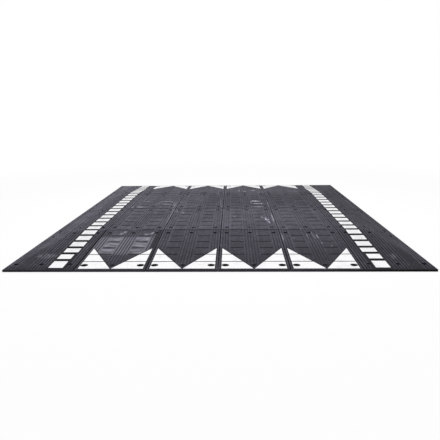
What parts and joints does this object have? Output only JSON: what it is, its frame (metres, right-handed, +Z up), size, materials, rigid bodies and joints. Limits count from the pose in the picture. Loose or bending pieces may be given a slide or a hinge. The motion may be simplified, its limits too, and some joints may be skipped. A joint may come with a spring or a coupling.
{
  "type": "modular speed table",
  "caption": "Flat-topped speed table of bolted rubber modules, ramped to the traffic and to the kerbs, with white triangles on the ramps and white blocks along the sides.",
  "frame": {"origin": "on the road under the middle of the table", "axes": "+X across the road to the right, +Y along the traffic to the rear, +Z up"},
  "size_m": [2.997, 3.997, 0.065],
  "materials": {
    "rubber": "moulded black rubber",
    "white_inlay": "white thermoplastic, let in flush",
    "washer_steel": "zinc plated",
    "key_plastic": "black moulded plastic"
  },
  "bodies": {
    "root": {"front_left_corner": "rubber", "front_ramp_1": "rubber", "front_ramp_2": "rubber", "front_ramp_3": "rubber", "front_ramp_4": "rubber", "front_right_corner": "rubber", "left_side_1": "rubber", "top_1_1": "rubber", "top_1_2": "rubber", "top_1_3": "rubber", "top_1_4": "rubber", "right_side_1": "rubber", "left_side_2": "rubber", "top_2_1": "rubber", "top_2_2": "rubber", "top_2_3": "rubber", "top_2_4": "rubber", "right_side_2": "rubber", "rear_left_corner": "rubber", "rear_ramp_1": "rubber", "rear_ramp_2": "rubber", "rear_ramp_3": "rubber", "rear_ramp_4": "rubber", "rear_right_corner": "rubber", "left_blocks_1": "white_inlay", "left_blocks_2": "white_inlay", "left_blocks_3": "white_inlay", "left_blocks_4": "white_inlay", "right_blocks_1": "white_inlay", "right_blocks_2": "white_inlay", "right_blocks_3": "white_inlay", "right_blocks_4": "white_inlay", "front_triangles_1": "white_inlay", "front_triangles_2": "white_inlay", "front_triangles_3": "white_inlay", "front_triangles_4": "white_inlay", "rear_triangles_1": "white_inlay", "rear_triangles_2": "white_inlay", "rear_triangles_3": "white_inlay", "rear_triangles_4": "white_inlay", "seat_washers_1": "washer_steel", "seat_washers_2": "washer_steel", "seat_washers_3": "washer_steel", "seat_washers_4": "washer_steel", "seat_washers_5": "washer_steel", "seat_washers_6": "washer_steel", "column_seam_keys_1": "key_plastic", "column_seam_keys_2": "key_plastic", "column_seam_keys_3": "key_plastic", "column_seam_keys_4": "key_plastic", "column_seam_keys_5": "key_plastic", "row_seam_keys_1": "key_plastic", "row_seam_keys_2": "key_plastic", "row_seam_keys_3": "key_plastic"}
  },
  "joints": []
}
